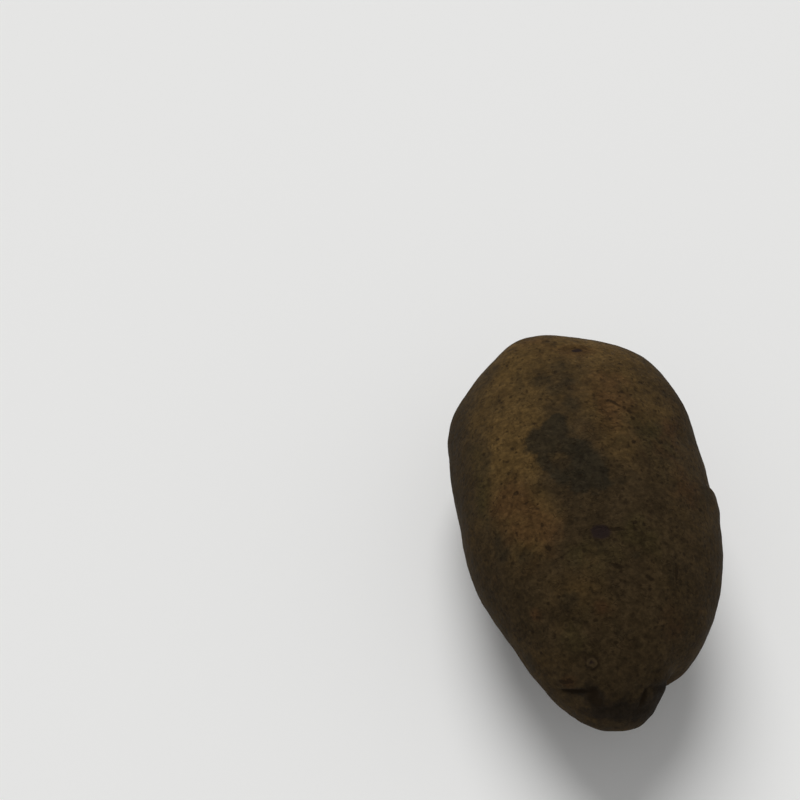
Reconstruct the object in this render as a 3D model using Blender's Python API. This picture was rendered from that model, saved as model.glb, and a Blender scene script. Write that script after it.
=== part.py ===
"""Seed potato: one whole, long-oval, yellow-skinned tuber lying on its side.

The tuber is one grown solid, so it is one object with one skin material.  Units are metres
and +Z is up.  +Y runs from the narrow nose, where the eyes crowd together, to the broad end,
where the tuber hung on its stolon.  The origin is under the middle of the tuber, on the
surface that it rests on.

A unit sphere with its poles on Y is pulled out to an egg, and then broad lobes, creases and
eyes push its surface out or in.  Each of them sits at an angle around the tuber (0 degrees
is +X, 90 is the top, 180 is -X, 270 is the underside) and at a place along it (-1 is the
tip of the nose, +1 the tip of the broad end).
"""

import math

import bmesh
import bpy
from mathutils import Matrix, Vector

# ---- driving dimensions, in metres ----
LENGTH = 0.0905
WIDTH = 0.0560
HEIGHT = 0.0480
REST_CUT = 0.0006        # thickness of the slice that the resting face takes off the underside

# ---- the egg, as shares of its half-width ----
TAPER = 0.17             # how much wider the broad end is, and how much narrower the nose
SHOULDER = 0.14          # extra fullness of the broad end close to its tip

# ---- mesh density ----
STEPS_AROUND = 64
STEPS_ALONG = 50

# ---- broad lobes: around (degrees), along, half-width around, half-width along, height ----
LOBES = (
    # the right flank swells beside the nose, in a low shelf that starts halfway along
    (8.0, -0.35, 0.016, 0.020, 0.0021),
    (20.0, -0.035, 0.007, 0.004, 0.0010),
    (20.0, -0.22, 0.010, 0.008, 0.0003),
    # the left flank runs almost straight from the middle to the nose, which has a full cheek
    (190.0, -0.62, 0.016, 0.018, -0.0026),
    (187.0, 0.15, 0.014, 0.013, -0.0024),
    (186.0, -0.73, 0.009, 0.007, 0.0008),
    # the shoulders of the broad end, with a flattened corner on the left
    (125.0, 0.84, 0.011, 0.010, 0.0024),
    (40.0, 0.68, 0.014, 0.015, 0.0025),
    (110.0, 0.84, 0.007, 0.007, 0.0008),
    (145.0, 0.84, 0.008, 0.007, -0.0014),
    (172.0, 0.60, 0.006, 0.006, 0.0004),
    (30.0, 0.42, 0.008, 0.007, 0.0009),
    # the nose narrows on the right
    (0.0, -0.87, 0.010, 0.008, -0.0020),
    # the underside is flatter than the top
    (270.0, 0.05, 0.022, 0.030, -0.0012),
    # and a little hollow between its two hips
    (225.0, 0.30, 0.012, 0.014, 0.0008),
    (315.0, 0.40, 0.012, 0.014, 0.0007),
)

# ---- creases: the same five values, with a negative height ----
CREASES = (
    # a groove sets the nose off from the body: deep on the right, faint over the top
    (352.0, -0.850, 0.0075, 0.0023, -0.0022),
    (66.0, -0.92, 0.0040, 0.0016, -0.0005),
    (141.0, -0.87, 0.0050, 0.0014, -0.0006),
    # the step above the shelf of the right flank
    (20.0, 0.05, 0.0070, 0.0020, -0.0006),
    # the scar of the stolon
    (80.0, 0.985, 0.0022, 0.0022, -0.0010),
)

# ---- eyes: around (degrees), along, half-width of the hollow, depth of the hollow ----
EYES = (
    (93.0, -0.29, 0.0026, 0.0003),
    (122.0, -0.63, 0.0022, 0.0004),
    (116.0, -0.78, 0.0022, 0.0004),
    (84.0, 0.71, 0.0026, 0.0005),
    (202.0, 0.42, 0.0034, 0.0008),
    (232.0, -0.38, 0.0034, 0.0008),
    (318.0, -0.22, 0.0036, 0.0008),
    (300.0, 0.55, 0.0034, 0.0008),
    (345.0, 0.62, 0.0030, 0.0006),
    (172.0, 0.74, 0.0030, 0.0007),
    (214.0, -0.74, 0.0028, 0.0006),
    (292.0, -0.68, 0.0030, 0.0007),
    (250.0, -0.90, 0.0024, 0.0005),
)
EYE_STRETCH = 1.4        # an eye is this much wider around the tuber than along it
BROW_RISE = 0.4          # height of the brow beside an eye, as a share of the eye's depth
BROW_OFFSET = 1.5        # place of the brow towards the broad end, in half-widths of the eye

SKIN_COLOUR = (0.21, 0.12, 0.045, 1.0)
SKIN_ROUGHNESS = 0.72


def egg_point(around, along):
    """Return the point of the plain egg at an angle around it and a place along it."""
    swell = 1.0 + TAPER * along + SHOULDER * max(0.0, along) ** 4
    across = math.sqrt(max(0.0, 1.0 - along * along)) * swell
    return Vector((
        WIDTH / 2.0 * across * math.cos(around),
        LENGTH / 2.0 * along,
        HEIGHT / 2.0 * across * math.sin(around),
    ))


def outward(point):
    """Return the direction that leads straight out of the skin at a point of the egg."""
    return Vector((
        point.x / (WIDTH / 2.0) ** 2,
        point.y / (LENGTH / 2.0) ** 2,
        point.z / (HEIGHT / 2.0) ** 2,
    )).normalized()


class Lobe:
    """A soft round rise of the skin, or a hollow where its height is negative."""

    def __init__(self, around_degrees, along, half_around, half_along, height):
        self.centre = egg_point(math.radians(around_degrees), along)
        self.out = outward(self.centre)
        self.around = Vector((0.0, 1.0, 0.0)).cross(self.out).normalized()
        self.along = self.out.cross(self.around)
        self.half_around = half_around
        self.half_along = half_along
        self.height = height

    def rise_at(self, point):
        """Return how far this lobe lifts the skin at a point of the egg."""
        gap = point - self.centre
        reach = (gap.dot(self.around) / self.half_around) ** 2
        reach += (gap.dot(self.along) / self.half_along) ** 2
        reach += (gap.dot(self.out) / max(self.half_around, self.half_along)) ** 2
        return self.height * math.exp(-reach)


def eye_lobes(around_degrees, along, half_width, depth):
    """Return an eye's hollow and the low brow on its side towards the broad end."""
    wide = half_width * EYE_STRETCH
    brow_along = along + BROW_OFFSET * half_width / (LENGTH / 2.0)
    hollow = Lobe(around_degrees, along, wide, half_width, -depth)
    brow = Lobe(around_degrees, brow_along, wide, half_width * 0.7, depth * BROW_RISE)
    return [hollow, brow]


def tuber_point(unit, lobes):
    """Return the skin's point for a point of the unit sphere."""
    base = egg_point(math.atan2(unit.z, unit.x), max(-1.0, min(1.0, unit.y)))
    return base + outward(base) * sum(lobe.rise_at(base) for lobe in lobes)


def cut_resting_face(bm):
    """Slice the lowest part off, so that the tuber has one small flat face to rest on."""
    level = min(vert.co.z for vert in bm.verts) + REST_CUT
    everything = bm.verts[:] + bm.edges[:] + bm.faces[:]
    cut = bmesh.ops.bisect_plane(
        bm, geom=everything, plane_co=(0.0, 0.0, level), plane_no=(0.0, 0.0, -1.0),
        clear_outer=True,
    )
    rim = [item for item in cut["geom_cut"] if isinstance(item, bmesh.types.BMEdge)]
    bmesh.ops.edgeloop_fill(bm, edges=rim)
    bmesh.ops.recalc_face_normals(bm, faces=bm.faces[:])


def centre_on_origin(bm):
    """Move the tuber so that the origin is under the middle of its box, at its resting face."""
    xs = [vert.co.x for vert in bm.verts]
    ys = [vert.co.y for vert in bm.verts]
    lowest = min(vert.co.z for vert in bm.verts)
    middle = Vector(((min(xs) + max(xs)) / 2.0, (min(ys) + max(ys)) / 2.0, lowest))
    bmesh.ops.translate(bm, verts=bm.verts[:], vec=-middle)


def skin_material():
    """Return the tuber's matt, golden-brown skin."""
    material = bpy.data.materials.new("skin")
    material.use_nodes = True
    shader = material.node_tree.nodes["Principled BSDF"]
    shader.inputs["Base Color"].default_value = SKIN_COLOUR
    shader.inputs["Roughness"].default_value = SKIN_ROUGHNESS
    shader.inputs["Metallic"].default_value = 0.0
    return material


def build_tuber(collection):
    """Model the tuber and put it in its collection."""
    lobes = [Lobe(*sizes) for sizes in LOBES + CREASES]
    for sizes in EYES:
        lobes += eye_lobes(*sizes)

    bm = bmesh.new()
    bmesh.ops.create_uvsphere(
        bm, u_segments=STEPS_AROUND, v_segments=STEPS_ALONG, radius=1.0,
        matrix=Matrix.Rotation(math.radians(-90.0), 4, "X"),
    )
    for vert in bm.verts:
        vert.co = tuber_point(vert.co, lobes)
    cut_resting_face(bm)
    centre_on_origin(bm)

    mesh = bpy.data.meshes.new("seed_potato")
    bm.to_mesh(mesh)
    bm.free()
    mesh.shade_smooth()
    mesh.materials.append(skin_material())
    tuber = bpy.data.objects.new("seed_potato", mesh)
    collection.objects.link(tuber)
    return tuber


def main():
    for old in list(bpy.data.objects):
        bpy.data.objects.remove(old, do_unlink=True)
    collection = bpy.data.collections.new("Seed potato")
    bpy.context.scene.collection.children.link(collection)
    build_tuber(collection)


if __name__ == "__main__":
    main()
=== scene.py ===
"""Looks of the seed potato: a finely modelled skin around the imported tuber, and a plain studio.

Places on the tuber are given as an angle around it, in degrees (0 is +X, 90 is the top, 180 is
-X, 270 is the underside), and a share along it (-1 is the tip of the nose, +1 the tip of the
broad end).  Sizes are in metres.
"""

import math

import bmesh
import bpy
import numpy as np
from mathutils import Matrix, Vector, noise
from mathutils.bvhtree import BVHTree


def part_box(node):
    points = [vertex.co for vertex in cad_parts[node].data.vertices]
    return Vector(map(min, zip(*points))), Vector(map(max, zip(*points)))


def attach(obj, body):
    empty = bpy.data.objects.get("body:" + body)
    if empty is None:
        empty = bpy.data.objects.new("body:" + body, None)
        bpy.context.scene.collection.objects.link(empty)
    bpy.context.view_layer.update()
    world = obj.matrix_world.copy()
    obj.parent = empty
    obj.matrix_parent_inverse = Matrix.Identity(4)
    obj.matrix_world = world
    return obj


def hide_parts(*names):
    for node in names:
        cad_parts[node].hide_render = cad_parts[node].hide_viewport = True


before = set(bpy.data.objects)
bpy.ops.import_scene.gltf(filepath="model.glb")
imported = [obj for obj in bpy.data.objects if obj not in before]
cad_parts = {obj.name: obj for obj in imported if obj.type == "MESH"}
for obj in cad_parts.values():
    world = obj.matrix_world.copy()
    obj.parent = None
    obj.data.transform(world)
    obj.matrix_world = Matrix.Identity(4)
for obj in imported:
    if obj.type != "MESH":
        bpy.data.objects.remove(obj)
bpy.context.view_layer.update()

NODE = "seed_potato"
LOW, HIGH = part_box(NODE)
MIDDLE = (LOW + HIGH) / 2.0
HALF = (HIGH - LOW) / 2.0

# ---- camera ----
CAMERA_PITCH = 55.0         # how steeply it looks down, in degrees
CAMERA_YAW = -5.0           # how far it stands towards -X of the nose, in degrees
CAMERA_DISTANCE = 0.2455    # from the middle of the tuber
CAMERA_LENS = 50.0          # focal length for a film 36 mm wide
FILM_WIDTH = 36.0
CLIP_NEAR = 0.01
CLIP_FAR = 50.0
OFF_CENTRE_RIGHT = 0.2332   # place of the tuber in the picture, as shares of its width
OFF_CENTRE_DOWN = 0.154

# ---- light: a soft key, and a studio whose walls are paler than its ceiling ----
KEY_FROM = (-0.08, 0.55, 0.73)
KEY_LIGHT = 1.92
KEY_SPREAD = 36.0           # the key's width as seen from the tuber, in degrees
WALL_TOP = 0.24             # where the walls end, as the sine of the elevation
CEILING = 0.55              # where the ceiling's own light is reached, likewise
WALL_LIGHT = 0.70
CEILING_LIGHT = 0.285
STUDIO_COLOUR = (1.0, 1.0, 1.0, 1.0)
FLOOR_SIZE = 20.0
FLOOR_COLOUR = (0.93, 0.93, 0.92)
FLOOR_ROUGHNESS = 0.9

# ---- skin mesh: quads across the box that is blown up to the tuber ----
QUADS_ACROSS = 104
QUADS_ALONG = 170
WELD_DISTANCE = 1e-5
SMOOTHING_PASSES = 60
SMOOTHING_IN = 0.62         # share of the way to the neighbours' mean
SMOOTHING_BACK = -0.58      # and back from it, in every other pass
ATLAS_COLUMNS = 3
ATLAS_ROWS = 2
ATLAS_GAP = 0.004

# ---- undulation of the skin: size of the waves, height ----
WAVES = (
    (0.0140, 0.00034),
    (0.0055, 0.00013),
    (0.0020, 0.00005),
)
WAVE_FRACTAL = (1.0, 2.0, 2)    # how fast finer waves fade, their ratio, how many of them

# ---- the nose, which has fine wrinkles that run around it ----
NOSE_FROM = -0.72           # where along the tuber it starts, and where it is all nose
NOSE_TO = -0.90
WRINKLE_SIZE = 0.0016
WRINKLE_HEIGHT = 0.00016
WRINKLE_STRETCH = 3.0

# ---- eyes: around, along, half-width, depth, height of the brow, turn of the eye ----
EYES = (
    (97, -0.29, 0.0021, 0.00022, 0.00010, -5),
    (86, 0.73, 0.0020, 0.00040, 0.00022, 0),
    (206, 0.42, 0.0029, 0.00070, 0.00034, 10),
    (232, -0.38, 0.0028, 0.00065, 0.00030, -15),
    (318, -0.22, 0.0030, 0.00070, 0.00030, 12),
    (300, 0.55, 0.0028, 0.00065, 0.00030, -8),
    (345, 0.62, 0.0026, 0.00060, 0.00032, 5),
    (180, 0.74, 0.0026, 0.00055, 0.00030, -10),
    (212, -0.74, 0.0024, 0.00055, 0.00030, 8),
    (290, -0.68, 0.0026, 0.00055, 0.00030, -5),
    (250, -0.88, 0.0020, 0.00050, 0.00028, 0),
    (300, -0.94, 0.0017, 0.00040, 0.00020, 10),
)

# ---- shape of an eye, in half-widths of it ----
EYE_REACH = 3.0             # how far above and below its place it still shapes the skin
HOLLOW_WIDTH = 1.4
HOLLOW_TO_BROW = 0.55       # length of the hollow towards the brow, where it is steep
HOLLOW_FROM_BROW = 1.1      # and away from the brow
BROW_PLACE = 0.80
BROW_BEND = 0.22            # how fast the brow's ends curve back round the eye
BROW_WIDTH = 1.6
BROW_LENGTH = 0.30
BUDS = ((0.0, 0.42), (-0.85, 0.26), (0.80, 0.24))   # each bud's place to the side, its size
BUD_PLACE = -0.05
BUD_LENGTH = 0.8            # as a share of a bud's width
BUD_RISE = 1.4              # height for each size of a bud, as a share of the eye's depth
# the painted shadow under the brow: its place and length
BROW_SHADOW_PLACE = -0.42          # from the brow
BROW_SHADOW_LENGTH = 0.16

# ---- creases: around, along, half-length, half-width, depth, turn ----
CREASES = (
    (155, -0.855, 0.0038, 0.00042, 0.00065, -25),
    (138, -0.900, 0.0018, 0.00080, 0.00050, 60),
    (66, -0.915, 0.0018, 0.00045, 0.00050, 78),
    (38, -0.870, 0.0042, 0.00075, 0.00055, 15),
    (20, 0.030, 0.0050, 0.00080, 0.00030, 5),
    (86, -0.285, 0.0028, 0.00030, 0.00014, -6),
    (75, 0.360, 0.0014, 0.00030, 0.00018, -40),
    (71, 0.310, 0.0012, 0.00030, 0.00015, -35),
    (125, -0.945, 0.0036, 0.00060, 0.00030, -10),
    (76, -0.955, 0.0024, 0.00050, 0.00025, -10),
)
CREASE_REACH = 2.0          # how far above and below its place it counts, in half-lengths
LIP_WIDTH = 2.6             # in half-widths of the groove
LIP_RISE = 0.45             # the lips and the groove, as shares of the depth
GROOVE_FALL = 1.2

# ---- ring scars: around, along, radius of the rim, height of the rim, strength of colour ----
RINGS = (
    (124, -0.783, 0.00076, 0.00020, 1.0),
    (131, -0.630, 0.00050, 0.00010, 0.4),
    (80, 0.985, 0.00130, 0.00040, 0.5),
)

# ---- section of a ring scar: places and widths in radii, heights as shares of the rim's ----
RIM_WIDTH = 0.35
MOAT_PLACE = 1.8
MOAT_WIDTH = 0.40
MOAT_FALL = 0.8
DIMPLE_WIDTH = 0.45
DIMPLE_FALL = 0.5

HOLLOW_DEPTH = 0.0007       # a hollow this deep is darkened most, with soil and painted shade

# ---- patches on the skin: around, along, half-width around, half-width along, turn ----
SCURF = (
    (111, 0.20, 0.0048, 0.0044, 0),
    (107, 0.27, 0.0024, 0.0022, 0),
    (118, 0.18, 0.0032, 0.0040, 0),
    (114, 0.09, 0.0034, 0.0038, 0),
    (104, 0.10, 0.0046, 0.0044, 0),
    (109, 0.01, 0.0032, 0.0036, 0),
    (98, 0.03, 0.0044, 0.0044, 0),
    (94, -0.04, 0.0036, 0.0040, 0),
    (101, -0.05, 0.0032, 0.0034, 0),
)
SCURF_WORN = (
    (109, 0.05, 0.0022, 0.0026, 0),
    (101, 0.20, 0.0012, 0.0014, 0),
)
SMUDGES = (
    (101, 0.60, 0.0022, 0.0026, 0),
    (98, 0.49, 0.0026, 0.0030, 0),
    (113, 0.53, 0.0034, 0.0026, 0),
    (105, 0.46, 0.0034, 0.0030, 0),
    (99, 0.36, 0.0022, 0.0034, 0),
    (145, 0.18, 0.0024, 0.0050, 0),
    (149, -0.22, 0.0022, 0.0026, 0),
    (149, -0.28, 0.0024, 0.0020, 0),
    (138, -0.32, 0.0026, 0.0020, 0),
    (123, -0.54, 0.0030, 0.0022, 0),
    (80, -0.40, 0.0016, 0.0012, 0),
    (31, 0.26, 0.0016, 0.0026, 0),
    (28, -0.05, 0.0030, 0.0026, 0),
    (174, -0.68, 0.0030, 0.0022, 0),
)
MARKS = (
    (91, -0.440, 0.0011, 0.0006, -20),
    (89, -0.285, 0.0021, 0.0004, -6),
    (78, -0.260, 0.0006, 0.0004, 0),
    (73, -0.270, 0.0006, 0.0004, 0),
    (133, -0.040, 0.0007, 0.0005, 0),
    (125, -0.320, 0.0006, 0.0007, 0),
    (55, -0.460, 0.0004, 0.0018, 0),
    (73, -0.490, 0.0013, 0.0004, -35),
    (71, 0.130, 0.0006, 0.0005, 0),
    (55, 0.150, 0.0006, 0.0005, 0),
    (36, -0.150, 0.0006, 0.0005, 0),
    (76, 0.345, 0.0017, 0.0004, -35),
    (69, 0.300, 0.0007, 0.0005, -30),
    (68, 0.265, 0.0007, 0.0005, 0),
    (86, 0.730, 0.0012, 0.0005, 0),
    (138, -0.900, 0.0014, 0.0024, 0),
    (66, -0.912, 0.0006, 0.0020, -12),
    (155, -0.856, 0.0034, 0.0004, -25),
    (156, -0.818, 0.0013, 0.0005, -30),
    (151, -0.822, 0.0009, 0.0006, -30),
)
# soil, with painted shade in and below the creases near the nose and across the nose's underside
SOIL_AND_CREASE_SHADE = (
    (152, -0.858, 0.0048, 0.0008, -25),
    (137, -0.900, 0.0020, 0.0032, 0),
    (66, -0.915, 0.0008, 0.0024, -12),
    (25, -0.880, 0.0050, 0.0034, 0),
    (140, -0.950, 0.0050, 0.0020, -10),
    (112, -0.955, 0.0040, 0.0026, 0),
    (88, -0.960, 0.0040, 0.0026, 0),
    (62, -0.965, 0.0034, 0.0024, 0),
    (20, -0.950, 0.0040, 0.0030, 0),
)
SPOTS = (
    (97, -0.29, 0.0021, 0.0015, -5),
    (86, 0.73, 0.0013, 0.0006, 0),
)
PATCHES = {
    "scurf": SCURF,
    "worn": SCURF_WORN,
    "mark": MARKS,
    "smudge": SMUDGES,
    "soil_and_crease_shade": SOIL_AND_CREASE_SHADE,
    "spot": SPOTS,
}

# ---- a film of soil and painted shade: darker low down, on the nose, and here, with painted shadow on both flanks: around, along, half-widths, strength ----
SOIL_AND_SHADE_FILM_TO = 0.50              # how high it reaches on the flanks, as a share of the height
SOIL_AND_SHADE_FILM_ON_NOSE = 0.6
SOIL_AND_SHADE_FILM = (
    # the first three patches, on the -X flank, are painted shadow; the next three, on the +X side,
    # are painted shade; the last two, on the nose, are soil and painted shade
    (172, 0.45, 0.0090, 0.0120, 0.7),
    (168, 0.05, 0.0070, 0.0160, 0.8),
    (170, -0.40, 0.0080, 0.0120, 0.6),
    (18, -0.45, 0.0080, 0.0140, 0.7),
    (25, 0.50, 0.0060, 0.0120, 0.4),
    (40, -0.70, 0.0060, 0.0060, 0.5),
    (165, -0.92, 0.0070, 0.0060, 1.0),
    (150, -0.985, 0.0070, 0.0040, 0.9),
)

# ---- soft changes of tone: around, along, half-widths, strength ----
GOLD = (
    (130, 0.28, 0.0100, 0.0140, 1.0),
    (131, -0.14, 0.0075, 0.0110, 0.8),
    (95, 0.80, 0.0150, 0.0080, 0.8),
    (66, 0.55, 0.0080, 0.0120, 0.8),
    (125, 0.62, 0.0060, 0.0060, 0.7),
    (82, 0.22, 0.0050, 0.0080, 0.8),
    (128, -0.60, 0.0070, 0.0080, 0.3),
    (131, -0.65, 0.0045, 0.0045, -0.7),
    (118, -0.03, 0.0040, 0.0042, -0.6),
    (150, -0.74, 0.0060, 0.0050, 0.4),
    (230, 0.30, 0.0120, 0.0100, 0.6),
    (280, -0.30, 0.0100, 0.0120, 0.6),
    (330, 0.30, 0.0100, 0.0110, 0.6),
)
RUST = (
    (136, -0.10, 0.0060, 0.0070, 0.9),
    (129, -0.24, 0.0050, 0.0050, 0.9),
    (146, -0.55, 0.0018, 0.0016, 1.0),
    (105, -0.59, 0.0020, 0.0022, 1.0),
    (78, 0.34, 0.0075, 0.0110, 0.9),
    (112, 0.84, 0.0070, 0.0040, 0.8),
    (48, 0.20, 0.0040, 0.0050, 0.6),
    (48, -0.08, 0.0050, 0.0050, 0.8),
    (50, -0.64, 0.0040, 0.0040, 0.6),
    (86, 0.74, 0.0050, 0.0030, 0.8),
    (155, -0.82, 0.0024, 0.0016, 1.0),
    (240, 0.10, 0.0050, 0.0050, 0.8),
    (310, 0.10, 0.0050, 0.0050, 0.8),
)
OLIVE = (
    (105, -0.40, 0.0070, 0.0040, 0.8),
    (72, -0.30, 0.0050, 0.0050, 0.8),
    (60, 0.14, 0.0060, 0.0060, 0.8),
    (126, -0.66, 0.0050, 0.0050, 0.6),
    (150, 0.05, 0.0030, 0.0120, 0.7),
    (260, -0.10, 0.0070, 0.0070, 0.7),
    (350, 0.40, 0.0060, 0.0060, 0.7),
)
TONES = {"gold": GOLD, "rust": RUST, "olive": OLIVE}

# ---- skin colours, linear ----
GOLD_SKIN = (0.0882, 0.0531, 0.0185)
BROWN_SKIN = (0.0428, 0.0281, 0.0131)
RUST_SKIN = (0.0684, 0.0324, 0.0135)
OLIVE_SKIN = (0.0432, 0.0333, 0.0117)
SCURF_SKIN = (0.0216, 0.0175, 0.0103)
SOIL_AND_SHADE_SKIN = (0.0135, 0.0103, 0.0074)
PORE_AND_SHADOW_SKIN = (0.0144, 0.0090, 0.0045)
FLAKE_SKIN = (0.1080, 0.0765, 0.0414)
BUD_SKIN = (0.0200, 0.0128, 0.0118)
FOLD_SKIN = (0.0180, 0.0113, 0.0063)
RIM_SKIN = (0.0828, 0.0558, 0.0306)
SKIN_SHINE = 0.03           # how strongly it reflects; glass or water would be 0.5

# ---- noises of the skin: size, detail, roughness; the last two are 2 and 0.5 if left out ----
TONE_NOISE = (0.010, 3.0, 0.55)
DRIFT_NOISE = (0.0065, 3.0, 0.55)
EDGE_NOISE = (0.0024, 4.0, 0.65)
WEAR_NOISE = (0.0016, 3.0)
STRAY_NOISE = (0.0070, 4.0, 0.6)
BLOTCH_NOISE = (0.0042, 3.0, 0.6)
MOTTLE_NOISE = (0.0015, 3.0, 0.6)
GRAIN_NOISE = (0.00072, 2.0, 0.55)
TEAR_NOISE = (0.0010, 2.0)
NET_NOISE = (0.005,)
MARK_NOISE = (0.0010,)
RING_NOISE = (0.0015,)
NOISE_MEAN = 0.5

# ---- noises that push outlines about: size, amount ----
RAGGED = (0.0020, 0.0016)
CRINKLED = (0.0007, 0.0007)
WOBBLY = (0.0011, 0.0010)

# ---- masks of the painted places: how ragged, eased from, to, and the values there ----
GOLD_MASK = (1.6, 0.0, 1.0)
RUST_MASK = (2.0, 0.2, 1.1, 0.0, 0.55)
OLIVE_MASK = (-2.0, 0.2, 1.1, 0.0, 0.55)
SCURF_MASK = (0.95, 0.34, 0.64)
WORN_MASK = (1.4, 0.1, 0.8, 0.85, 0.40)
SMUDGE_MASK = (1.5, 0.30, 1.0)
SOIL_AND_CREASE_SHADE_MASK = (1.3, 0.18, 0.75, 0.0, 0.80)
HOLLOW_MASK = (0.7, 0.15, 1.0)
SPOT_MASK = (0.6, 0.25, 0.62)

# ---- other masks, and shades: eased from, to, and the values there ----
STRAY_EASE = (0.60, 0.70)
TEAR_EASE = (0.42, 0.60)
NET_EASE = (0.40, 0.60, 0.3, 1.0)
MARK_AND_BROW_SHADOW_EASE = (0.25, 0.65)
RING_EASE = (0.35, 0.60, 0.25, 0.75)
BLOTCH_SHADES = (0.30, 0.70, 0.82, 1.20)
MOTTLE_SHADES = (0.30, 0.70, 0.74, 1.20)
GRAIN_SHADES = (0.32, 0.68, 0.80, 1.10)
ROUGHNESS_EASE = (0.3, 0.7, 0.66, 0.84)

# ---- raggedness of the film of soil and painted shade, of small marks and of the painted shadow under a brow ----
SOIL_AND_SHADE_FILM_RAGGED = 0.8
MARK_RAGGED = 0.8
BROW_SHADOW_RAGGED = 0.8

# ---- cracks: size of their cells, width.  Dots: size of the cells, share of the cells that
# hold one, smallest and largest radius ----
NET_CRACKS = (0.0012, 0.00016)
FLAKE_DOTS = (0.0013, 0.5, 0.00012, 0.00030)
PORE_DOTS = (0.0021, 0.80, 0.00030, 0.00062)
DASH_DOTS = (0.0013, 0.7, 0.00020, 0.00042)
DOT_EDGE = (0.45, 1.15)     # where a dot starts to fade and where it ends, in radii

# ---- how strongly each layer covers what is under it ----
STRAY_STRENGTH = 0.6
SMUDGE_STRENGTH = 0.5
NET_STRENGTH = 0.40
FLAKE_STRENGTH = 0.20
PORE_STRENGTH = 0.75
DASH_STRENGTH = 0.6
PIT_STRENGTH = 0.85
SOIL_AND_SHADE_FILM_STRENGTH = 0.40
SOIL_AND_SHADE_STRENGTH = 0.75
MARK_AND_BROW_SHADOW_STRENGTH = 0.75
SPOT_STRENGTH = 0.9
RIM_STRENGTH = 0.3
CENTRE_STRENGTH = 0.7

# ---- colours of a ring scar: where each fades in and out, in radii ----
MOAT_IN = (1.10, 1.50)
MOAT_OUT = (1.6, 2.4)
RIM_IN = (0.40, 0.70)
RIM_OUT = (1.05, 1.35)
CENTRE_OUT = (0.35, 0.65)

# ---- fine relief of the skin, as bump ----
MOTTLE_BUMP = 0.00016
GRAIN_BUMP = 0.00007
PIT_BUMP = -0.00007


class Place:
    """A place on the tuber, with the directions around it, along it and out of it."""

    def __init__(self, around, along, turn=0.0):
        angle = math.radians(around)
        start = Vector((MIDDLE.x, MIDDLE.y + along * HALF.y, MIDDLE.z))
        ray = Vector((math.cos(angle), 0.0, math.sin(angle)))
        self.centre = TREE.ray_cast(start, ray)[0]
        gap = self.centre - MIDDLE
        out = Vector((gap.x / HALF.x**2, gap.y / HALF.y**2, gap.z / HALF.z**2)).normalized()
        side = Vector((0.0, 1.0, 0.0)).cross(out).normalized()
        spin = Matrix.Rotation(math.radians(turn), 3, out)
        self.ways = np.array([spin @ side, spin @ out.cross(side), out])

    def offsets(self, points):
        """Return how far the points lie from this place: around, along and out."""
        return ((points - np.array(self.centre)) @ self.ways.T).T

    def nearness(self, points, half_around, half_along):
        """Return 1 at the place, falling softly to 0 beyond its half-widths."""
        around, along, out = self.offsets(points)
        reach = (around / half_around) ** 2 + (along / half_along) ** 2
        return np.exp(-reach - (out / max(half_around, half_along)) ** 2)


def tuber_tree():
    """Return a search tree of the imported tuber's surface."""
    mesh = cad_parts[NODE].data
    points = [vert.co.copy() for vert in mesh.vertices]
    return BVHTree.FromPolygons(points, [tuple(face.vertices) for face in mesh.polygons])


TREE = tuber_tree()


# ---- the skin's mesh ----

def box_sides():
    """Yield each side of the skin's box: normal, grid directions, grid counts, atlas corner."""
    x, y, z = Vector((1, 0, 0)), Vector((0, 1, 0)), Vector((0, 0, 1))
    long_side = (QUADS_ACROSS, QUADS_ALONG)
    end_side = (QUADS_ACROSS, QUADS_ACROSS)
    yield z, x, y, long_side, (0, 0)
    yield -z, -x, y, long_side, (0, 1)
    yield x, -z, y, long_side, (1, 0)
    yield -x, z, y, long_side, (1, 1)
    yield -y, x, z, end_side, (2, 0)
    yield y, -x, z, end_side, (2, 1)


def blown_up_box():
    """Return a box of fine grids as a bmesh, welded, with each side's own place in the atlas."""
    bm = bmesh.new()
    atlas = bm.loops.layers.uv.new("OFBake")
    column = 1.0 / ATLAS_COLUMNS
    row = 1.0 / ATLAS_ROWS
    for normal, across, along, counts, corner in box_sides():
        matrix = Matrix((across, along, normal)).transposed().to_4x4()
        matrix.translation = normal
        grid = bmesh.ops.create_grid(
            bm, x_segments=counts[0], y_segments=counts[1], size=1.0, matrix=matrix,
            calc_uvs=True,
        )
        faces = {face for vert in grid["verts"] for face in vert.link_faces}
        width = column - 2.0 * ATLAS_GAP
        height = (row - 2.0 * ATLAS_GAP) * counts[1] / QUADS_ALONG
        for face in faces:
            for loop in face.loops:
                u, v = loop[atlas].uv
                loop[atlas].uv = (
                    corner[0] * column + ATLAS_GAP + u * width,
                    corner[1] * row + ATLAS_GAP + v * height,
                )
    bmesh.ops.remove_doubles(bm, verts=bm.verts[:], dist=WELD_DISTANCE)
    return bm


def wrapped_points(box_points):
    """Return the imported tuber's surface points in the directions of the box's points."""
    ways = np.tan(box_points * (math.pi / 4.0)) * np.array(HALF)
    return np.array([TREE.ray_cast(MIDDLE, Vector(way).normalized())[0] for way in ways])


def edge_array(mesh):
    edges = np.empty(len(mesh.edges) * 2, dtype=np.int64)
    mesh.edges.foreach_get("vertices", edges)
    return edges.reshape(-1, 2)


def vector_array(items, name):
    values = np.empty(len(items) * 3)
    items.foreach_get(name, values)
    return values.reshape(-1, 3)


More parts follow.
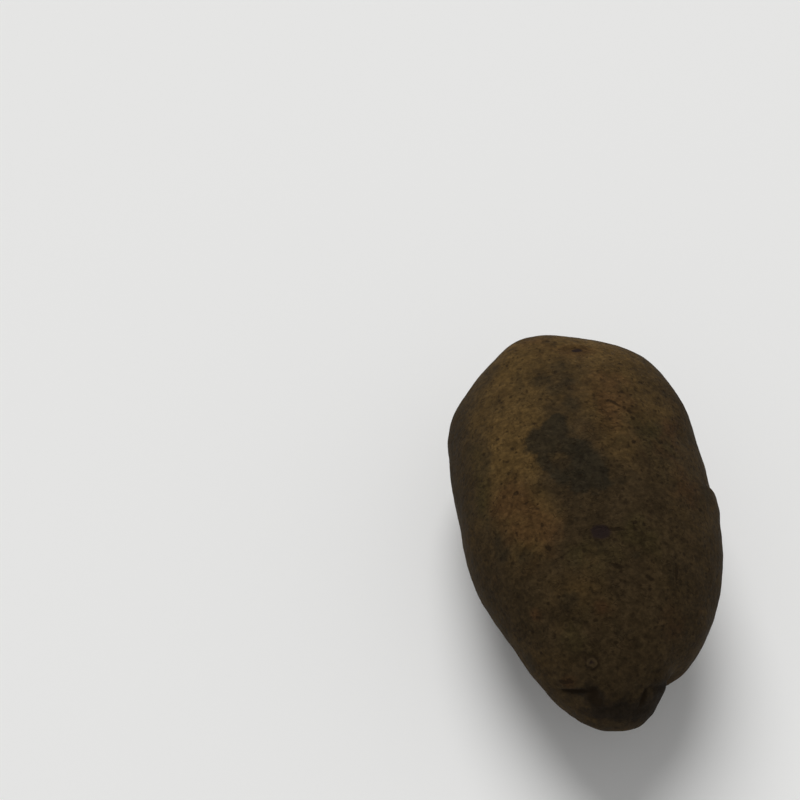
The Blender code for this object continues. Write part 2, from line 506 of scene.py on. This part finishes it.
def smoothed(points, edges, passes):
    """Return the points evened out: each pass moves them towards their neighbours' mean, and
    every other pass moves them away from it again, so that the shape doesn't shrink."""
    starts = np.concatenate((edges[:, 0], edges[:, 1]))
    ends = np.concatenate((edges[:, 1], edges[:, 0]))
    counts = np.bincount(starts, minlength=len(points))[:, None]
    result = points.copy()
    for index in range(passes):
        share = SMOOTHING_BACK if index % 2 else SMOOTHING_IN
        sums = [np.bincount(starts, result[ends, axis], len(points)) for axis in range(3)]
        result += share * (np.stack(sums, axis=1) / counts - result)
    return result


# ---- relief: how far each feature lifts the skin ----

def wave_relief(points):
    """Return the soft undulation of the skin."""
    relief = np.zeros(len(points))
    for size, height in WAVES:
        relief += height * np.array(
            [noise.fractal(Vector(point) / size, *WAVE_FRACTAL) for point in points]
        )
    return relief


def nose_share(points):
    """Return 0 on the body, rising to 1 on the nose."""
    along = (points[:, 1] - MIDDLE.y) / HALF.y
    return np.clip((NOSE_FROM - along) / (NOSE_FROM - NOSE_TO), 0.0, 1.0)


def wrinkle_relief(points):
    """Return fine wrinkles that run around the nose."""
    share = nose_share(points)
    relief = np.zeros(len(points))
    for index in np.flatnonzero(share):
        spot = Vector(points[index]) / WRINKLE_SIZE
        spot.x /= WRINKLE_STRETCH
        spot.z /= WRINKLE_STRETCH
        relief[index] = noise.noise(spot)
    return WRINKLE_HEIGHT * share * relief


def eye_shape(points, around, along, size, depth, brow, turn):
    """Return an eye's relief, and the painted shadow under its brow, which is faint in a shallow
    eye.

    An eye is a hollow, steep under a crescent brow, with one large and two small buds in it.
    """
    side, ahead, out = Place(around, along, turn).offsets(points)
    side = side / size
    ahead = ahead / size
    near = np.exp(-((out / (EYE_REACH * size)) ** 2))
    length = np.where(ahead > 0.0, HOLLOW_TO_BROW, HOLLOW_FROM_BROW)
    relief = -depth * np.exp(-((side / HOLLOW_WIDTH) ** 2) - (ahead / length) ** 2)
    crest = BROW_PLACE - BROW_BEND * side**2
    width = np.exp(-((side / BROW_WIDTH) ** 4))
    relief += brow * np.exp(-(((ahead - crest) / BROW_LENGTH) ** 2)) * width
    for bud_side, bud_size in BUDS:
        gap = ((side - bud_side) / bud_size) ** 2
        gap += ((ahead - BUD_PLACE) / (BUD_LENGTH * bud_size)) ** 2
        relief += BUD_RISE * bud_size * depth * np.exp(-gap)
    # a dark line painted where the brow's shadow falls
    brow_shadow = np.exp(-(((ahead - crest - BROW_SHADOW_PLACE) / BROW_SHADOW_LENGTH) ** 2)) * width
    return relief * near, brow_shadow * near * depth / HOLLOW_DEPTH


def crease_relief(points, around, along, half_length, half_width, depth, turn):
    """Return a crease: a groove with a soft lip on both sides."""
    side, ahead, out = Place(around, along, turn).offsets(points)
    fade = np.exp(-((side / half_length) ** 4) - (out / (CREASE_REACH * half_length)) ** 2)
    groove = np.exp(-((ahead / half_width) ** 2))
    lips = np.exp(-((ahead / (LIP_WIDTH * half_width)) ** 2))
    return depth * fade * (LIP_RISE * lips - GROOVE_FALL * groove)


def ring_relief(points, around, along, radius, height):
    """Return a ring scar: a low round rim between a dimple and a shallow moat."""
    side, ahead, out = Place(around, along).offsets(points)
    distance = np.sqrt(side**2 + ahead**2 + out**2) / radius
    rim = np.exp(-(((distance - 1.0) / RIM_WIDTH) ** 2))
    moat = np.exp(-(((distance - MOAT_PLACE) / MOAT_WIDTH) ** 2))
    dimple = np.exp(-((distance / DIMPLE_WIDTH) ** 2))
    return height * (rim - MOAT_FALL * moat - DIMPLE_FALL * dimple)


def patch_field(points, places):
    """Return how near the points are to the nearest of the patches."""
    result = np.zeros(len(points))
    for around, along, half_around, half_along, turn in places:
        near = Place(around, along, turn).nearness(points, half_around, half_along)
        result = np.maximum(result, near)
    return result


def tone_field(points, places):
    """Return the sum of soft changes of tone."""
    result = np.zeros(len(points))
    for around, along, half_around, half_along, strength in places:
        result += strength * Place(around, along).nearness(points, half_around, half_along)
    return result


def soil_and_shade_film_field(points):
    """Return soil and painted shade: darker low on the flanks, on the nose and in a few places."""
    # darker towards the bottom and on the nose: soil and painted shade
    low = np.clip(1.0 - points[:, 2] / (SOIL_AND_SHADE_FILM_TO * HIGH.z), 0.0, 1.0)
    eased = low**2 * (3.0 - 2.0 * low)
    soil_and_shade_film = np.maximum(eased, SOIL_AND_SHADE_FILM_ON_NOSE * nose_share(points))
    return np.maximum(soil_and_shade_film, tone_field(points, SOIL_AND_SHADE_FILM))


def set_attribute(mesh, name, values):
    """Give the material a value for each point of the mesh, held between 0 and 1."""
    layer = mesh.attributes.new(name, "FLOAT", "POINT")
    layer.data.foreach_set("value", np.clip(values, 0.0, 1.0))


def build_skin():
    """Return the skin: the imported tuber's surface, evened out, with relief and painted places."""
    bm = blown_up_box()
    mesh = bpy.data.meshes.new("tuber_skin")
    bm.to_mesh(mesh)
    bm.free()
    points = wrapped_points(vector_array(mesh.vertices, "co"))
    points = smoothed(points, edge_array(mesh), SMOOTHING_PASSES)
    mesh.vertices.foreach_set("co", points.ravel())
    mesh.update()
    normals = vector_array(mesh.vertices, "normal")

    marks = np.zeros(len(points))
    brow_shadows = np.zeros(len(points))
    for eye in EYES:
        relief, brow_shadow = eye_shape(points, *eye)
        marks += relief
        brow_shadows = np.maximum(brow_shadows, brow_shadow)
    for crease in CREASES:
        marks += crease_relief(points, *crease)
    for around, along, radius, height, _ in RINGS:
        marks += ring_relief(points, around, along, radius, height)
    relief = marks + wave_relief(points) + wrinkle_relief(points)
    moved = points + normals * relief[:, None]
    moved[:, 2] = np.maximum(moved[:, 2], 0.0)
    mesh.vertices.foreach_set("co", moved.ravel())
    mesh.update()
    mesh.shade_smooth()

    # the hollows are darkened with soil and painted shade, the more the deeper they are
    set_attribute(mesh, "hollow", -marks / HOLLOW_DEPTH)
    set_attribute(mesh, "brow_shadow", brow_shadows)
    for name, places in PATCHES.items():
        set_attribute(mesh, name, patch_field(points, places))
    for name, places in TONES.items():
        set_attribute(mesh, name, tone_field(points, places))
    set_attribute(mesh, "soil_and_shade_film", soil_and_shade_film_field(points))
    skin = bpy.data.objects.new("tuber_skin", mesh)
    bpy.context.scene.collection.objects.link(skin)
    return skin


# ---- materials ----

def plain_material(name, colour, roughness):
    material = bpy.data.materials.new(name)
    material.use_nodes = True
    shader = material.node_tree.nodes["Principled BSDF"]
    shader.inputs["Base Color"].default_value = (*colour, 1.0)
    shader.inputs["Roughness"].default_value = roughness
    return material


class Nodes:
    """A short way to build a material's nodes.  Sizes are in metres on the object."""

    def __init__(self, material):
        material.use_nodes = True
        self.tree = material.node_tree
        self.shader = self.tree.nodes["Principled BSDF"]
        self.position = self.make("ShaderNodeTexCoord").outputs["Object"]

    def make(self, kind, **settings):
        node = self.tree.nodes.new(kind)
        for name, value in settings.items():
            setattr(node, name, value)
        return node

    def put(self, value, socket):
        if isinstance(value, bpy.types.NodeSocket):
            self.tree.links.new(value, socket)
        else:
            socket.default_value = value

    def maths(self, operation, first, second=0.0, third=0.0):
        node = self.make("ShaderNodeMath", operation=operation)
        for socket, value in zip(node.inputs, (first, second, third)):
            self.put(value, socket)
        return node.outputs[0]

    def times(self, first, second):
        return self.maths("MULTIPLY", first, second)

    def sway(self, value, pattern, amount):
        """Return value plus a noise pattern, centred on zero, times an amount."""
        centred = self.maths("SUBTRACT", pattern, NOISE_MEAN)
        return self.maths("MULTIPLY_ADD", centred, amount, value)

    def remap(self, value, low, high, to_low=0.0, to_high=1.0):
        """Return value eased from low..high to to_low..to_high, and held at both ends."""
        node = self.make("ShaderNodeMapRange", interpolation_type="SMOOTHSTEP")
        for socket, setting in zip(node.inputs, (value, low, high, to_low, to_high)):
            self.put(setting, socket)
        return node.outputs[0]

    def attribute(self, name):
        return self.make("ShaderNodeAttribute", attribute_name=name).outputs["Fac"]

    def mask(self, name, pattern, amount, *ease):
        """Return a painted field, made ragged at its edge by a noise pattern and then eased."""
        return self.remap(self.sway(self.attribute(name), pattern, amount), *ease)

    def distance(self, position, centre):
        node = self.make("ShaderNodeVectorMath", operation="DISTANCE")
        self.put(position, node.inputs[0])
        node.inputs[1].default_value = centre
        return node.outputs["Value"]

    def shifted(self, shift, stretch=1.0, position=None):
        """Return the position moved aside.  A stretch over 1 squeezes patterns along the tuber,
        and one under 1 draws them out."""
        node = self.make("ShaderNodeVectorMath", operation="MULTIPLY_ADD")
        self.put(position or self.position, node.inputs[0])
        node.inputs[1].default_value = (1.0, stretch, 1.0)
        node.inputs[2].default_value = (shift, -shift, 2.0 * shift)
        return node.outputs[0]

    def noise(self, position, size, detail=2.0, roughness=0.5, output="Fac"):
        node = self.make("ShaderNodeTexNoise")
        self.put(position, node.inputs["Vector"])
        node.inputs["Scale"].default_value = 1.0 / size
        node.inputs["Detail"].default_value = detail
        node.inputs["Roughness"].default_value = roughness
        return node.outputs[output]

    def warped(self, size, amount):
        """Return the position pushed about by noise, which makes outlines irregular."""
        push = self.noise(self.position, size, output="Color")
        centred = self.make("ShaderNodeVectorMath", operation="SUBTRACT")
        self.put(push, centred.inputs[0])
        centred.inputs[1].default_value = (NOISE_MEAN, NOISE_MEAN, NOISE_MEAN)
        node = self.make("ShaderNodeVectorMath", operation="MULTIPLY_ADD")
        self.put(centred.outputs[0], node.inputs[0])
        node.inputs[1].default_value = (amount, amount, amount)
        self.put(self.position, node.inputs[2])
        return node.outputs[0]

    def cracks(self, position, size, width):
        """Return thin lines between cells: 1 on the line, 0 away from it."""
        node = self.make("ShaderNodeTexVoronoi", feature="DISTANCE_TO_EDGE")
        self.put(position, node.inputs["Vector"])
        node.inputs["Scale"].default_value = 1.0 / size
        return self.remap(node.outputs["Distance"], 0.0, width / size, 1.0, 0.0)

    def dots(self, position, size, share, small, large):
        """Return soft dots of mixed size: a share of the cells of a given size hold one."""
        node = self.make("ShaderNodeTexVoronoi", feature="F1")
        self.put(position, node.inputs["Vector"])
        node.inputs["Scale"].default_value = 1.0 / size
        split = self.make("ShaderNodeSeparateColor")
        self.put(node.outputs["Color"], split.inputs[0])
        kept = self.maths("LESS_THAN", split.outputs[0], share)
        radius = self.maths("MULTIPLY_ADD", split.outputs[1], (large - small) / size, small / size)
        reach = self.maths("DIVIDE", node.outputs["Distance"], radius)
        return self.times(self.remap(reach, *DOT_EDGE, 1.0, 0.0), kept)

    def blend(self, factor, first, second):
        node = self.make("ShaderNodeMix", data_type="RGBA")
        self.put(factor, node.inputs[0])
        for value, socket in ((first, node.inputs[6]), (second, node.inputs[7])):
            self.put((*value, 1.0) if isinstance(value, tuple) else value, socket)
        return node.outputs[2]

    def scaled(self, colour, factor):
        """Return the colour times a grey factor."""
        node = self.make("ShaderNodeVectorMath", operation="SCALE")
        self.put(colour, node.inputs[0])
        self.put(factor, node.inputs["Scale"])
        return node.outputs[0]

    def bump(self, height, distance, normal=None):
        node = self.make("ShaderNodeBump")
        node.inputs["Distance"].default_value = distance
        self.put(height, node.inputs["Height"])
        if normal:
            self.put(normal, node.inputs["Normal"])
        return node.outputs["Normal"]


class SkinNodes(Nodes):
    """The skin's nodes, with the patterns that several of its layers share.

    Each pattern is shifted by a distance of its own, so that no two of them line up.
    """

    def __init__(self, material):
        super().__init__(material)
        self.ragged = self.warped(*RAGGED)
        self.crinkled = self.warped(*CRINKLED)
        self.edge = self.noise(self.ragged, *EDGE_NOISE)
        self.blotches = self.noise(self.shifted(0.5), *BLOTCH_NOISE)
        self.mottle = self.noise(self.shifted(0.7, 1.3), *MOTTLE_NOISE)
        self.grain = self.noise(self.shifted(0.02, 1.1, self.crinkled), *GRAIN_NOISE)
        self.net = self.crack_net()
        self.pits = self.dark_pits()

    def crack_net(self):
        """Return the russet's fine net of cracks, which is stronger in some places."""
        net = self.cracks(self.shifted(0.2, 1.1, self.ragged), *NET_CRACKS)
        torn = self.remap(self.noise(self.shifted(1.3), *TEAR_NOISE), *TEAR_EASE)
        places = self.remap(self.noise(self.ragged, *NET_NOISE), *NET_EASE)
        return self.times(net, self.times(torn, places))

    def dark_pits(self):
        """Return the pores, and finer dashes drawn out along the tuber."""
        pores = self.dots(self.shifted(0.6, 1.2, self.crinkled), *PORE_DOTS)
        dashes = self.dots(self.shifted(0.8, 0.6, self.crinkled), *DASH_DOTS)
        return self.maths(
            "MAXIMUM", self.times(pores, PORE_STRENGTH), self.times(dashes, DASH_STRENGTH),
        )

    def covered(self, colour, tint, mask, strength):
        """Return the colour under a layer of a tint."""
        return self.blend(self.times(mask, strength), colour, tint)


def broad_tone(nodes):
    """Return brown skin that clears to gold, with reddish and olive drifts."""
    tone = nodes.noise(nodes.shifted(0.1), *TONE_NOISE)
    drift = nodes.noise(nodes.shifted(0.3), *DRIFT_NOISE)
    colour = nodes.blend(nodes.mask("gold", tone, *GOLD_MASK), BROWN_SKIN, GOLD_SKIN)
    colour = nodes.blend(nodes.mask("rust", drift, *RUST_MASK), colour, RUST_SKIN)
    return nodes.blend(nodes.mask("olive", drift, *OLIVE_MASK), colour, OLIVE_SKIN)


def scurfed(nodes, colour):
    """Add scurf, in grey-brown patches with ragged edges, and fainter smudges of it."""
    wear = nodes.noise(nodes.shifted(0.9), *WEAR_NOISE)
    scurf = nodes.mask("scurf", nodes.edge, *SCURF_MASK)
    scurf = nodes.times(scurf, nodes.mask("worn", wear, *WORN_MASK))
    colour = nodes.blend(scurf, colour, SCURF_SKIN)
    smudge = nodes.mask("smudge", nodes.edge, *SMUDGE_MASK)
    stray = nodes.noise(nodes.shifted(1.1, 1.0, nodes.ragged), *STRAY_NOISE)
    stray = nodes.times(nodes.remap(stray, *STRAY_EASE), STRAY_STRENGTH)
    smudge = nodes.maths("MAXIMUM", smudge, stray)
    return nodes.covered(colour, SCURF_SKIN, smudge, SMUDGE_STRENGTH)


def mottled(nodes, colour):
    """Add mottling, from the size of a lentil down to fine grain."""
    colour = nodes.scaled(colour, nodes.remap(nodes.blotches, *BLOTCH_SHADES))
    colour = nodes.scaled(colour, nodes.remap(nodes.mottle, *MOTTLE_SHADES))
    return nodes.scaled(colour, nodes.remap(nodes.grain, *GRAIN_SHADES))


def speckled(nodes, colour):
    """Add the net of cracks, pale flakes, and dark pores and dashes."""
    colour = nodes.covered(colour, PORE_AND_SHADOW_SKIN, nodes.net, NET_STRENGTH)
    flakes = nodes.dots(nodes.shifted(0.4, 1.1, nodes.crinkled), *FLAKE_DOTS)
    colour = nodes.covered(colour, FLAKE_SKIN, flakes, FLAKE_STRENGTH)
    return nodes.covered(colour, PORE_AND_SHADOW_SKIN, nodes.pits, PIT_STRENGTH)


def soiled_and_shaded(nodes, colour):
    """Add soil and painted shade in the hollows, and a film of soil and painted shade."""
    soil_and_shade_film = nodes.sway(nodes.attribute("soil_and_shade_film"), nodes.blotches, SOIL_AND_SHADE_FILM_RAGGED)
    # soil and painted shade in the hollows, darkest in the deepest
    hollow = nodes.mask("hollow", nodes.mottle, *HOLLOW_MASK)
    # soil and painted shade from the film and from the hollows, laid on together
    soil_and_shade = nodes.maths("MAXIMUM", nodes.times(soil_and_shade_film, SOIL_AND_SHADE_FILM_STRENGTH), hollow)
    return nodes.covered(colour, SOIL_AND_SHADE_SKIN, soil_and_shade, SOIL_AND_SHADE_STRENGTH)


def marked(nodes, colour):
    """Add small dark marks, the painted shadow under the brows, and purple-brown spots."""
    mark = nodes.sway(
        nodes.attribute("mark"), nodes.noise(nodes.ragged, *MARK_NOISE), MARK_RAGGED,
    )
    brow_shadow = nodes.sway(nodes.attribute("brow_shadow"), nodes.mottle, BROW_SHADOW_RAGGED)
    # one mask for the marks and the painted shadow under the brows
    mark = nodes.remap(nodes.maths("MAXIMUM", mark, brow_shadow), *MARK_AND_BROW_SHADOW_EASE)
    colour = nodes.covered(colour, PORE_AND_SHADOW_SKIN, mark, MARK_AND_BROW_SHADOW_STRENGTH)
    spot = nodes.mask("spot", nodes.mottle, *SPOT_MASK)
    return nodes.covered(colour, BUD_SKIN, spot, SPOT_STRENGTH)


def scarred(nodes, colour):
    """Add the ring scars: a dark moat, a pale rim and a dark centre."""
    wobbly = nodes.warped(*WOBBLY)
    broken = nodes.remap(nodes.noise(nodes.ragged, *RING_NOISE), *RING_EASE)
    for around, along, radius, _, strength in RINGS:
        ring = nodes.distance(wobbly, Place(around, along).centre)
        ring = nodes.times(ring, 1.0 / radius)
        moat = nodes.remap(ring, *MOAT_IN, 0.0, strength)
        moat = nodes.times(moat, nodes.remap(ring, *MOAT_OUT, 1.0, 0.0))
        colour = nodes.blend(nodes.times(moat, broken), colour, FOLD_SKIN)
        rim = nodes.remap(ring, *RIM_IN, 0.0, RIM_STRENGTH * strength)
        rim = nodes.times(rim, nodes.remap(ring, *RIM_OUT, 1.0, 0.0))
        colour = nodes.blend(rim, colour, RIM_SKIN)
        centre = nodes.remap(ring, *CENTRE_OUT, CENTRE_STRENGTH * strength, 0.0)
        colour = nodes.blend(centre, colour, BUD_SKIN)
    return colour


def skin_material():
    """Return the skin's material, whose colour is built up in layers."""
    material = bpy.data.materials.new("potato_skin")
    nodes = SkinNodes(material)
    colour = scurfed(nodes, broad_tone(nodes))
    # soil patches, with painted shade of the creases and the nose
    colour = nodes.blend(nodes.mask("soil_and_crease_shade", nodes.edge, *SOIL_AND_CREASE_SHADE_MASK), colour, SOIL_AND_SHADE_SKIN)
    colour = speckled(nodes, mottled(nodes, colour))
    colour = marked(nodes, soiled_and_shaded(nodes, colour))
    nodes.put(scarred(nodes, colour), nodes.shader.inputs["Base Color"])
    nodes.shader.inputs["Specular IOR Level"].default_value = SKIN_SHINE
    nodes.put(nodes.remap(nodes.mottle, *ROUGHNESS_EASE), nodes.shader.inputs["Roughness"])

    normal = nodes.bump(nodes.mottle, MOTTLE_BUMP)
    normal = nodes.bump(nodes.grain, GRAIN_BUMP, normal)
    normal = nodes.bump(nodes.maths("MAXIMUM", nodes.pits, nodes.net), PIT_BUMP, normal)
    nodes.put(normal, nodes.shader.inputs["Normal"])
    return material


# ---- the studio ----

def build_camera():
    pitch = math.radians(CAMERA_PITCH)
    yaw = math.radians(CAMERA_YAW)
    back = Vector((
        math.sin(yaw) * math.cos(pitch), -math.cos(yaw) * math.cos(pitch), math.sin(pitch),
    ))
    right = Vector((math.cos(yaw), math.sin(yaw), 0.0))
    up = back.cross(right)
    zoom = CAMERA_LENS / FILM_WIDTH
    towards = (right * OFF_CENTRE_RIGHT - up * OFF_CENTRE_DOWN - back * zoom).normalized()
    data = bpy.data.cameras.new("camera")
    data.lens = CAMERA_LENS
    data.sensor_width = FILM_WIDTH
    data.clip_start = CLIP_NEAR
    data.clip_end = CLIP_FAR
    camera = bpy.data.objects.new("camera", data)
    camera.matrix_world = Matrix((right, up, back)).transposed().to_4x4()
    camera.location = MIDDLE - towards * CAMERA_DISTANCE
    bpy.context.scene.collection.objects.link(camera)
    bpy.context.scene.camera = camera


def build_floor():
    bpy.ops.mesh.primitive_plane_add(size=FLOOR_SIZE)
    floor = bpy.context.object
    floor.name = "floor"
    floor.data.materials.append(plain_material("floor", FLOOR_COLOUR, FLOOR_ROUGHNESS))


def build_lights():
    world = bpy.data.worlds.new("studio")
    world.use_nodes = True
    tree = world.node_tree
    way = tree.nodes.new("ShaderNodeTexCoord").outputs["Generated"]
    split = tree.nodes.new("ShaderNodeSeparateXYZ")
    tree.links.new(way, split.inputs[0])
    wall = tree.nodes.new("ShaderNodeMapRange")
    wall.interpolation_type = "SMOOTHSTEP"
    for socket, value in zip(wall.inputs[1:5], (WALL_TOP, CEILING, WALL_LIGHT, CEILING_LIGHT)):
        socket.default_value = value
    tree.links.new(split.outputs["Z"], wall.inputs[0])
    tree.links.new(wall.outputs[0], tree.nodes["Background"].inputs["Strength"])
    tree.nodes["Background"].inputs["Color"].default_value = STUDIO_COLOUR
    bpy.context.scene.world = world
    key = bpy.data.lights.new("key", "SUN")
    key.energy = KEY_LIGHT
    key.angle = math.radians(KEY_SPREAD)
    lamp = bpy.data.objects.new("key", key)
    lamp.rotation_euler = Vector(KEY_FROM).to_track_quat("Z", "Y").to_euler()
    bpy.context.scene.collection.objects.link(lamp)


build_camera()
skin = build_skin()
skin.data.materials.append(skin_material())
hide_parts(NODE)
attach(skin, "root")
build_floor()
build_lights()
bpy.context.scene.view_settings.view_transform = "Standard"
